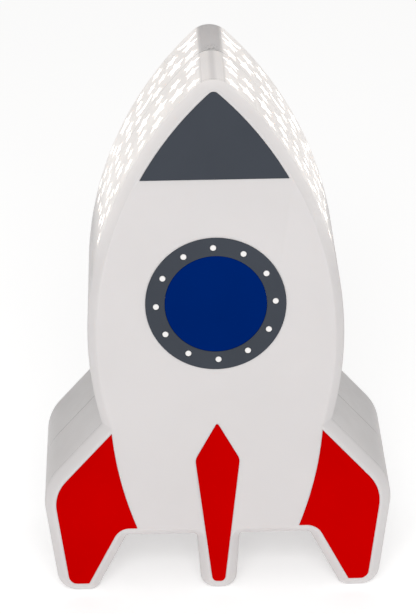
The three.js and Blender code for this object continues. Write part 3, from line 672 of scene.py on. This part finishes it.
def door_screw():
    """Slotted captive screw in the door."""
    low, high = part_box("battery_door_screw")
    z = centre("battery_door_screw").z
    head, shank = 2.6 * MM, 1.2 * MM
    neck = high.y - 0.9 * MM
    profile = [(0, low.y), (shank * 0.4, low.y), (shank, low.y + 1.5 * MM), (shank, neck),
               (head, neck), *round_edge(head, high.y, 0.3 * MM), (0, high.y)]
    piece = revolved("door_screw_head", profile, (0, 0, z), Y_AXIS, 64)
    boolean(piece, block("slot", (-3 * MM, high.y - 0.5 * MM, z - 0.4 * MM),
                         (3 * MM, high.y + MM, z + 0.4 * MM)), "DIFFERENCE")
    return smooth(stands_for(piece, "battery_door_screw", "door_screw"))


def knob():
    """Switch knob with three grip ridges."""
    low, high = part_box("switch_knob")
    piece = block("knob_cap", low, high)
    for i in range(3):
        x = low.x + (high.x - low.x) * (i + 0.5) / 3
        boolean(piece, block("notch", (x - 0.35 * MM, high.y - 0.6 * MM, low.z - MM),
                             (x + 0.35 * MM, high.y + MM, high.z + MM)), "DIFFERENCE")
    softened(piece, 0.12 * MM, 2)
    return stands_for(piece, "switch_knob", "switch_knob")


def cell(node):
    """AA cell: sleeve with rolled ends, a collar and a nub at one end."""
    low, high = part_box(node)
    place = centre(node)
    nub_up = node != "battery_2"
    axis = Z_AXIS if nub_up else -Z_AXIS
    place.z = low.z if nub_up else high.z
    radius, length, nub = (high.x - low.x) / 2, 49 * MM, 1.5 * MM
    groove = length - 2.4 * MM
    profile = [(0, 0.3 * MM), (radius - 1.6 * MM, 0.3 * MM), (radius - 1.3 * MM, 0),
               (radius - 0.5 * MM, 0), (radius - 0.12 * MM, 0.2 * MM), (radius, 0.7 * MM),
               (radius, groove - 0.5 * MM), (radius - 0.3 * MM, groove),
               (radius, groove + 0.5 * MM), *round_edge(radius, length, 0.6 * MM),
               (radius - 1.9 * MM, length - 0.35 * MM), (2.75 * MM, length - 0.35 * MM),
               *round_edge(2.7 * MM, length + nub, 0.4 * MM), (0, length + nub)]
    piece = revolved(node.replace("battery", "cell"), profile, place, axis, 64)
    return smooth(stands_for(piece, node, "housing"), 35)


def tube(name, path, radius, sides=12):
    """Closed round tube along a list of points."""
    verts, faces = [], []
    for i, point in enumerate(path):
        ahead = (path[min(i + 1, len(path) - 1)] - path[max(i - 1, 0)]).normalized()
        side = ahead.cross(Z_AXIS).normalized()
        up = side.cross(ahead)
        for k in range(sides):
            angle = 2 * math.pi * k / sides
            verts.append(point + (side * math.cos(angle) + up * math.sin(angle)) * radius)
    for i in range(len(path) - 1):
        for k in range(sides):
            a, b = i * sides + k, i * sides + (k + 1) % sides
            faces.append((a, a + sides, b + sides, b))
    faces.append(tuple(range(sides)))
    faces.append(tuple(reversed(range((len(path) - 1) * sides, len(path) * sides))))
    piece = mesh_object(name, verts, faces)
    return smooth(piece, 60)


def cell_x(node):
    """Middle of the cell that a spring presses on."""
    return centre("battery_" + node[-1]).x


CELL_Y = centre("battery_1").y


def coil(node):
    """Conical contact spring of round wire."""
    low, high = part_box(node)
    wire = 0.45 * MM
    narrow, wide = 3 * MM, 4.2 * MM
    wide_below = node != "contact_spring_2"
    turns, steps = 2.6, 90
    path = []
    for i in range(steps + 1):
        t = i / steps
        radius = wide + (narrow - wide) * (t if wide_below else 1 - t)
        angle = t * turns * 2 * math.pi
        z = low.z + wire + (high.z - low.z - 2 * wire) * t
        path.append(Vector((cell_x(node) + radius * math.cos(angle),
                            CELL_Y + radius * math.sin(angle), z)))
    return stands_for(tube(node.replace("contact_spring", "coil"), path, wire), node,
                      "housing")


def lamp_cap(node, name, inner=None):
    """Domed lens that stands on the lamp board, its axis towards the face."""
    low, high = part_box(node)
    radius = (high.x - low.x) / 2
    length = high.y - low.y
    steps = 16
    dome = [(radius * math.cos(a), length - radius + radius * math.sin(a))
            for a in (math.pi / 2 * i / steps for i in range(steps))]
    profile = [*dome, (0, length)]
    if inner:
        hollow = [((radius - inner) * math.cos(a), (radius - inner) * math.sin(a))
                  for a in (math.pi / 2 * i / steps for i in range(steps))]
        profile = [(0, radius - inner), *reversed(hollow), *profile]
    else:
        profile = [(0, 0), (radius, 0), *profile]
    place = (centre(node).x, high.y, (low.z + high.z) / 2)
    piece = revolved(name, profile, place, -Y_AXIS, 48)
    return smooth(stands_for(piece, node, "housing"), 60)


def named(start):
    return [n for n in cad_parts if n.startswith(start) and n[-1].isdigit()]


rivet_pins = [rivet(n) for n in named("ring_rivet_")]
case_screws = [shell_screw(n) for n in SHELL_SCREWS]
cells = [cell(n) for n in named("battery_")]
coils = [coil(n) for n in named("contact_spring_")]
door_panel = door()
door_screw_head = door_screw()
knob_cap = knob()
diffuser = lamp_cap("lamp_diffuser", "frosted_dome", 1.5 * MM)
led_caps = [lamp_cap(n, n.replace("led", "led_cap")) for n in named("led_")]


# ---------- materials ----------

class Paint:
    """A principled material with short helpers for its procedural nodes."""

    def __init__(self, name, color, roughness, **sockets):
        self.material = bpy.data.materials.new(name)
        self.material.use_nodes = True
        self.nodes = self.material.node_tree.nodes
        self.links = self.material.node_tree.links
        self.shader = self.nodes["Principled BSDF"]
        self.shader.inputs["Base Color"].default_value = (*color, 1)
        self.shader.inputs["Roughness"].default_value = roughness
        for socket, value in sockets.items():
            self.shader.inputs[socket.replace("_", " ")].default_value = value
        self.place = self.nodes.new("ShaderNodeTexCoord").outputs["Object"]

    def noise(self, size, detail=2.0):
        """Noise with features of a given size in metres."""
        node = self.nodes.new("ShaderNodeTexNoise")
        node.inputs["Scale"].default_value = 1 / size
        node.inputs["Detail"].default_value = detail
        self.links.new(self.place, node.inputs["Vector"])
        return node.outputs["Fac"]

    def math(self, operation, a, b=None):
        node = self.nodes.new("ShaderNodeMath")
        node.operation = operation
        for socket, value in zip(node.inputs, (a, b)):
            if value is None:
                continue
            if isinstance(value, (int, float)):
                socket.default_value = value
            else:
                self.links.new(value, socket)
        return node.outputs["Value"]

    def remap(self, value, low, high, new_low, new_high):
        node = self.nodes.new("ShaderNodeMapRange")
        self.links.new(value, node.inputs["Value"])
        for socket, number in zip(("From Min", "From Max", "To Min", "To Max"),
                                  (low, high, new_low, new_high)):
            node.inputs[socket].default_value = number
        return node.outputs["Result"]

    def mix(self, factor, a, b):
        node = self.nodes.new("ShaderNodeMix")
        node.data_type = "RGBA"
        self.links.new(factor, node.inputs["Factor"])
        for socket, value in ((node.inputs[6], a), (node.inputs[7], b)):
            if isinstance(value, tuple):
                socket.default_value = (*value, 1)
            else:
                self.links.new(value, socket)
        return node.outputs[2]

    def color(self, output):
        self.links.new(output, self.shader.inputs["Base Color"])

    def roughness(self, output):
        self.links.new(output, self.shader.inputs["Roughness"])

    def shade(self, lines, tone):
        """Paints shade into the base colour along planes of constant Y: (y, half width) pairs."""
        colour = self.shader.inputs["Base Color"].links[0].from_socket
        for y, half in lines:
            away = self.math("ABSOLUTE", self.math("SUBTRACT", self.axis("Y"), y))
            factor = self.remap(away, half, half * 1.8, tone, 0)
            colour = self.mix(factor, colour, PAINTED_SHADE)
        self.color(colour)

    def emission(self, output):
        self.links.new(output, self.shader.inputs["Emission Strength"])

    def bump(self, height, depth, strength=1.0):
        node = self.nodes.new("ShaderNodeBump")
        node.inputs["Distance"].default_value = depth
        node.inputs["Strength"].default_value = strength
        self.links.new(height, node.inputs["Height"])
        self.links.new(node.outputs["Normal"], self.shader.inputs["Normal"])

    def axis(self, name, vector=None):
        node = self.nodes.new("ShaderNodeSeparateXYZ")
        self.links.new(vector or self.place, node.inputs["Vector"])
        return node.outputs[name]

    def normal(self, name):
        geometry = self.nodes.new("ShaderNodeNewGeometry")
        return self.axis(name, geometry.outputs["Normal"])


WHITE = (0.63, 0.609, 0.608)
SHADED_WALL_WHITE = (0.565, 0.545, 0.54)   # painted shade: the grained side walls are coloured a little darker
RIVET_WHITE = (0.78, 0.765, 0.76)
SLATE = (0.0305, 0.0375, 0.0505)
NAVY = (0.0, 0.0145, 0.127)
RED = (0.50, 0.0, 0.0)
# Colour of the painted shade along the seam and the parting line behind the crease.
PAINTED_SHADE = (0.06, 0.055, 0.05)
# Colour of the painted shade on the ridge.
RIDGE_SHADE = (0.10, 0.09, 0.085)

WALL_GLOW = 0.33
WALL_GLOW_Z = (168 * MM, 196 * MM)      # the walls' glow fades in between these heights
RIDGE_EDGE_X = (4.6 * MM, 6.6 * MM)     # from the ridge to the wall beside it
RIDGE_Z = (258 * MM, 261 * MM)          # from the walls to the ridge on top
# Strength of the painted highlight on the ridge of the front shell.
RIDGE_GLOW = 0.55
# Painted shade: a dark line along the seam between the shells and one along the parting line behind
# the crease; (y, half width) pairs.
PARTING_LINES = ((SEAM_Y, 0.32 * MM), (FACE_Y + BEVEL_DEPTH + 1.5 * MM, 0.06 * MM))
SHADE = 0.75                    # how far a parting line darkens
INNER_GLOW = 0.75
GLOW = (1.0, 0.955, 0.90)       # the lamp's light through white plastic


def moulded(name, color, roughness, grain, wall_grain, tone, **sockets):
    """Moulded plastic: cloudy tone, uneven gloss, and a spark-textured grain that is coarser on
    the side walls than on the front and back faces."""
    paint = Paint(name, color, roughness, **sockets)
    cloud = paint.noise(55 * MM, 3.0)
    darker = tuple(c * (1 - tone) for c in color)
    lighter = tuple(min(1, c * (1 + tone)) for c in color)
    paint.color(paint.mix(paint.remap(cloud, 0.35, 0.65, 0, 1), darker, lighter))
    paint.roughness(paint.remap(paint.noise(9 * MM, 4.0), 0.3, 0.7, roughness - 0.05,
                                roughness + 0.06))
    side = paint.remap(paint.math("ABSOLUTE", paint.normal("Y")), 0.35, 0.75, 1, 0)
    weight = paint.remap(side, 0, 1, grain, wall_grain)
    fine = paint.noise(0.45 * MM, 3.0)
    height = paint.math("MULTIPLY", fine, weight)
    paint.bump(height, 0.12 * MM)
    return paint


def shell_plastic():
    """Outer plastic of the shells. A painted glow stands for the lamp's light soaking through the
    nose walls.
    """
    paint = moulded("white_plastic", WHITE, 0.44, 0.10, 0.9, 0.012, Subsurface_Weight=0.35,
                    Subsurface_Scale=3 * MM, Subsurface_Radius=(1.0, 0.93, 0.86),
                    Specular_IOR_Level=0.35, Emission_Color=(*GLOW, 1))
    # Painted glow: emission on the nose walls stands for the lamp's light through the plastic.
    wall = paint.remap(paint.math("ABSOLUTE", paint.normal("Y")), 0.2, 0.85, 1, 0)
    height = paint.remap(paint.axis("Z"), *WALL_GLOW_Z, 0, 1)
    beside_ridge = paint.remap(paint.math("ABSOLUTE", paint.axis("X")), *RIDGE_EDGE_X, 0, 1)
    crease = FACE_Y + BEVEL_DEPTH
    behind_crease = paint.remap(paint.axis("Y"), crease - 0.4 * MM, crease, 0, 1)
    beside_ridge = paint.math("MAXIMUM", beside_ridge, paint.math("SUBTRACT", 1, behind_crease))
    cloud = paint.remap(paint.noise(18 * MM, 2.0), 0.3, 0.7, 0.85, 1.1)
    painted_glow = paint.math("MULTIPLY", paint.math("MULTIPLY", wall, height),
                        paint.math("MULTIPLY", beside_ridge, cloud))
    # Painted highlight: the ridge of the front shell is made brighter with emission.
    in_front = paint.math("MULTIPLY", behind_crease,
                          paint.remap(paint.axis("Y"), SEAM_Y - 0.2 * MM, SEAM_Y, 1, 0))
    on_top = paint.remap(paint.axis("Z"), *RIDGE_Z, 0, 1)
    ridge = paint.math("MULTIPLY", in_front, on_top)
    # Painted reflection: a darker stripe down the middle of the ridge highlight.
    stripe = paint.remap(paint.math("ABSOLUTE", paint.axis("X")), 0.5 * MM, 2.2 * MM, 0.35, 1)
    painted_glow = paint.math("MAXIMUM", painted_glow, paint.math("MULTIPLY", ridge,
                                                      paint.math("MULTIPLY", stripe, RIDGE_GLOW)))
    paint.emission(paint.math("MULTIPLY", painted_glow, WALL_GLOW))
    # Painted shade: the side walls, all but the ridge, are coloured darker than the front and back
    # faces.
    side = paint.remap(paint.math("ABSOLUTE", paint.normal("Y")), 0.2, 0.4, 0.75, 0)
    side = paint.math("MULTIPLY", side, paint.math("SUBTRACT", 1, on_top))
    colour = paint.shader.inputs["Base Color"].links[0].from_socket
    paint.color(paint.mix(side, colour, SHADED_WALL_WHITE))
    # Painted shade along the seam and along the parting line behind the crease.
    paint.shade(PARTING_LINES, SHADE)
    # Painted shade on the ridge: dark specks behind the seam and a fine line on each side.
    painted_ridge_shade(paint, paint.math("MULTIPLY", on_top, behind_crease))
    return paint.material


def painted_ridge_shade(paint, on_top):
    """Painted shade on the ridge: dark specks just behind the seam, and a fine dark line on each
    side.
    """
    specks = paint.remap(paint.noise(0.9 * MM, 4.0), 0.48, 0.62, 0, 0.6)
    behind = paint.math("MULTIPLY", paint.remap(paint.axis("Y"), SEAM_Y, SEAM_Y + MM, 0, 1),
                        paint.remap(paint.axis("Y"), SEAM_Y + MM, SEAM_Y + 11 * MM, 1, 0))
    middle = paint.remap(paint.math("ABSOLUTE", paint.axis("X")), 2.5 * MM, 4.5 * MM, 1, 0)
    patch = paint.math("MULTIPLY", paint.math("MULTIPLY", specks, behind), middle)
    off_line = paint.math("SUBTRACT", paint.math("ABSOLUTE", paint.axis("X")), 5.4 * MM)
    line = paint.remap(paint.math("ABSOLUTE", off_line), 0.06 * MM, 0.2 * MM, 0.18, 0)
    marks = paint.math("MULTIPLY", paint.math("MAXIMUM", patch, line), on_top)
    colour = paint.shader.inputs["Base Color"].links[0].from_socket
    paint.color(paint.mix(marks, colour, RIDGE_SHADE))


def lit_plastic():
    """White plastic seen from its lit side, brightest round the lamp."""
    paint = Paint("lit_plastic", (0.8, 0.78, 0.75), 0.5, Emission_Color=(*GLOW, 1))
    height = paint.remap(paint.axis("Z"), LIT_FROM_Z, 175 * MM, 0.3, 1)
    cloud = paint.remap(paint.noise(12 * MM, 2.0), 0.3, 0.7, 0.95, 1.05)
    paint.emission(paint.math("MULTIPLY", paint.math("MULTIPLY", height, cloud), INNER_GLOW))
    paint.bump(paint.noise(0.6 * MM, 3.0), 0.05 * MM, 0.4)
    return paint.material


def metal(name, color, roughness, brushed):
    paint = Paint(name, color, roughness, Metallic=1.0)
    paint.roughness(paint.remap(paint.noise(2 * MM, 4.0), 0.3, 0.7, roughness - 0.06,
                                roughness + 0.10))
    paint.bump(paint.noise(brushed, 3.0), 0.03 * MM, 0.4)
    return paint.material


def lit_lens(name, strength):
    """Frosted lens over the lamps, with fine frosting and a softer rim."""
    paint = Paint(name, (0.9, 0.88, 0.84), 0.5)
    low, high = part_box("lamp_diffuser")
    depth = paint.remap(paint.axis("Y"), low.y, high.y, 1, 0.65)
    glow = paint.mix(depth, (0.80, 0.66, 0.46), (1.0, 0.93, 0.80))
    paint.links.new(glow, paint.shader.inputs["Emission Color"])
    paint.shader.inputs["Emission Strength"].default_value = strength
    paint.bump(paint.noise(0.6 * MM, 3.0), 0.1 * MM, 0.5)
    return paint.material


def cell_sleeve(node):
    """Printed sleeve with a copper band, and bare metal at both ends."""
    low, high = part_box(node)
    paint = Paint("cell_sleeve", (0.03, 0.03, 0.032), 0.3)
    z = paint.axis("Z")
    band = paint.math("GREATER_THAN", z, low.z + (high.z - low.z) * 0.68)
    sleeve = paint.mix(band, (0.022, 0.023, 0.026), (0.50, 0.22, 0.09))
    end = paint.math("ADD", paint.math("GREATER_THAN", z, high.z - 2.0 * MM),
                     paint.math("LESS_THAN", z, low.z + 2.0 * MM))
    paint.color(paint.mix(end, sleeve, (0.6, 0.6, 0.6)))
    paint.links.new(end, paint.shader.inputs["Metallic"])
    paint.bump(paint.noise(3 * MM, 3.0), 0.05 * MM, 0.3)
    return paint.material


def circuit_board(name):
    """White solder mask with faint tracks under it."""
    paint = Paint(name, (0.62, 0.65, 0.61), 0.35)
    tracks = paint.nodes.new("ShaderNodeTexBrick")
    tracks.inputs["Scale"].default_value = 180
    tracks.inputs["Mortar Size"].default_value = 0.03
    tracks.inputs["Color1"].default_value = (0.62, 0.65, 0.61, 1)
    tracks.inputs["Color2"].default_value = (0.58, 0.62, 0.57, 1)
    tracks.inputs["Mortar"].default_value = (0.42, 0.46, 0.40, 1)
    paint.links.new(paint.place, tracks.inputs["Vector"])
    paint.color(tracks.outputs["Color"])
    paint.bump(tracks.outputs["Fac"], 0.05 * MM, 0.5)
    return paint.material


def dress(obj, material):
    obj.data.materials.clear()
    obj.data.materials.append(material)


white = shell_plastic()
slate = moulded("slate_plastic", SLATE, 0.5, 0.18, 0.18, 0.06, Specular_IOR_Level=0.3).material
navy = moulded("navy_plastic", NAVY, 0.5, 0.18, 0.18, 0.05, Specular_IOR_Level=0.0).material
red = moulded("red_plastic", RED, 0.45, 0.15, 0.15, 0.03, Specular_IOR_Level=0.0).material
black = moulded("black_plastic", (0.02, 0.02, 0.022), 0.45, 0.2, 0.2, 0.1).material
wire_red = moulded("red_insulation", (0.4, 0.012, 0.01), 0.4, 0.2, 0.2, 0.05).material
steel = metal("plated_steel", (0.62, 0.63, 0.65), 0.28, 0.25 * MM)
lens = lit_lens("lit_lens", 5.0)
lit = lit_plastic()
rivet_white = moulded("rivet_plastic", RIVET_WHITE, 0.4, 0.1, 0.1, 0.01).material

light_inside(front_shell, white, lit)
light_inside(rear_shell, white, lit)
for piece, material in zip(inlays, (slate, red, red, red, navy, slate)):
    dress(piece, material)
for piece in rivet_pins:
    dress(piece, rivet_white)
dress(door_panel, white)
for piece in (*case_screws, *coils, door_screw_head):
    dress(piece, steel)
for piece in (diffuser, *led_caps):
    dress(piece, lens)
for piece, node in zip(cells, named("battery_")):
    dress(piece, cell_sleeve(node))
dress(knob_cap, black)

NODE_PAINT = {
    "board_screw_": steel, "contact_plate_": steel, "lamp_board": circuit_board("circuit_board"),
    "switch_body": black, "wire_negative": black, "wire_positive": wire_red,
    "wire_switched": wire_red,
}
for node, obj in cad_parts.items():
    for start, material in NODE_PAINT.items():
        if node.startswith(start):
            dress(obj, material)


# ---------- stage ----------

FLOOR_TONE = 0.9
FLOOR_GLOW = 0.34
CAMERA_PLACE = (-33.8 * MM, -1626.3 * MM, 785.7 * MM)
CAMERA_PITCH, CAMERA_YAW, CAMERA_ROLL = 21.87, 1.09, -0.70      # degrees
CAMERA_LENS = 206.87            # focal length on a sensor 36 wide


def floor():
    """Pale floor that also glows a little, so that it stays white round the model."""
    size = 4.0
    obj = mesh_object("floor", [(-size, -size, 0), (size, -size, 0), (size, size, 0),
                                (-size, size, 0)], [(0, 1, 2, 3)])
    paint = Paint("floor_paint", (FLOOR_TONE,) * 3, 0.9, Specular_IOR_Level=0.0,
                  Emission_Color=(1, 1, 1, 1), Emission_Strength=FLOOR_GLOW)
    paint.color(paint.mix(paint.noise(0.4, 2.0), (0.895, 0.895, 0.895), (0.905, 0.905, 0.905)))
    dress(obj, paint.material)


def softbox(name, place, target, width, height, watts):
    light = bpy.data.lights.new(name, "AREA")
    light.shape = "RECTANGLE"
    light.size, light.size_y = width, height
    light.energy = watts
    obj = bpy.data.objects.new(name, light)
    bpy.context.scene.collection.objects.link(obj)
    obj.location = place
    obj.rotation_mode = "QUATERNION"
    obj.rotation_quaternion = (Vector(target) - Vector(place)).to_track_quat("-Z", "Y")


def sky(strength):
    world = bpy.data.worlds.new("studio")
    world.use_nodes = True
    background = world.node_tree.nodes["Background"]
    background.inputs["Color"].default_value = (1.0, 0.995, 0.99, 1)
    background.inputs["Strength"].default_value = strength
    bpy.context.scene.world = world


def camera():
    """Long lens from the front, a little left of the middle, looking down at the light."""
    pitch, yaw, roll = (math.radians(a) for a in (CAMERA_PITCH, CAMERA_YAW, CAMERA_ROLL))
    forward = Vector((math.sin(yaw) * math.cos(pitch), math.cos(yaw) * math.cos(pitch),
                      -math.sin(pitch)))
    right = Vector((math.cos(yaw), -math.sin(yaw), 0))
    up = right.cross(forward)
    turned_right = right * math.cos(roll) + up * math.sin(roll)
    turned_up = up * math.cos(roll) - right * math.sin(roll)
    data = bpy.data.cameras.new("camera")
    data.sensor_width = 36
    data.lens = CAMERA_LENS
    obj = bpy.data.objects.new("camera", data)
    obj.matrix_world = Matrix((
        (turned_right.x, turned_up.x, -forward.x, CAMERA_PLACE[0]),
        (turned_right.y, turned_up.y, -forward.y, CAMERA_PLACE[1]),
        (turned_right.z, turned_up.z, -forward.z, CAMERA_PLACE[2]),
        (0, 0, 0, 1),
    ))
    bpy.context.scene.collection.objects.link(obj)
    bpy.context.scene.camera = obj


floor()
sky(0.62)
softbox("key", place=(-0.10, -1.7, 1.15), target=(0, 0, 0.16), width=0.9, height=0.7, watts=14.6)
camera()
bpy.context.scene.view_settings.view_transform = "Standard"
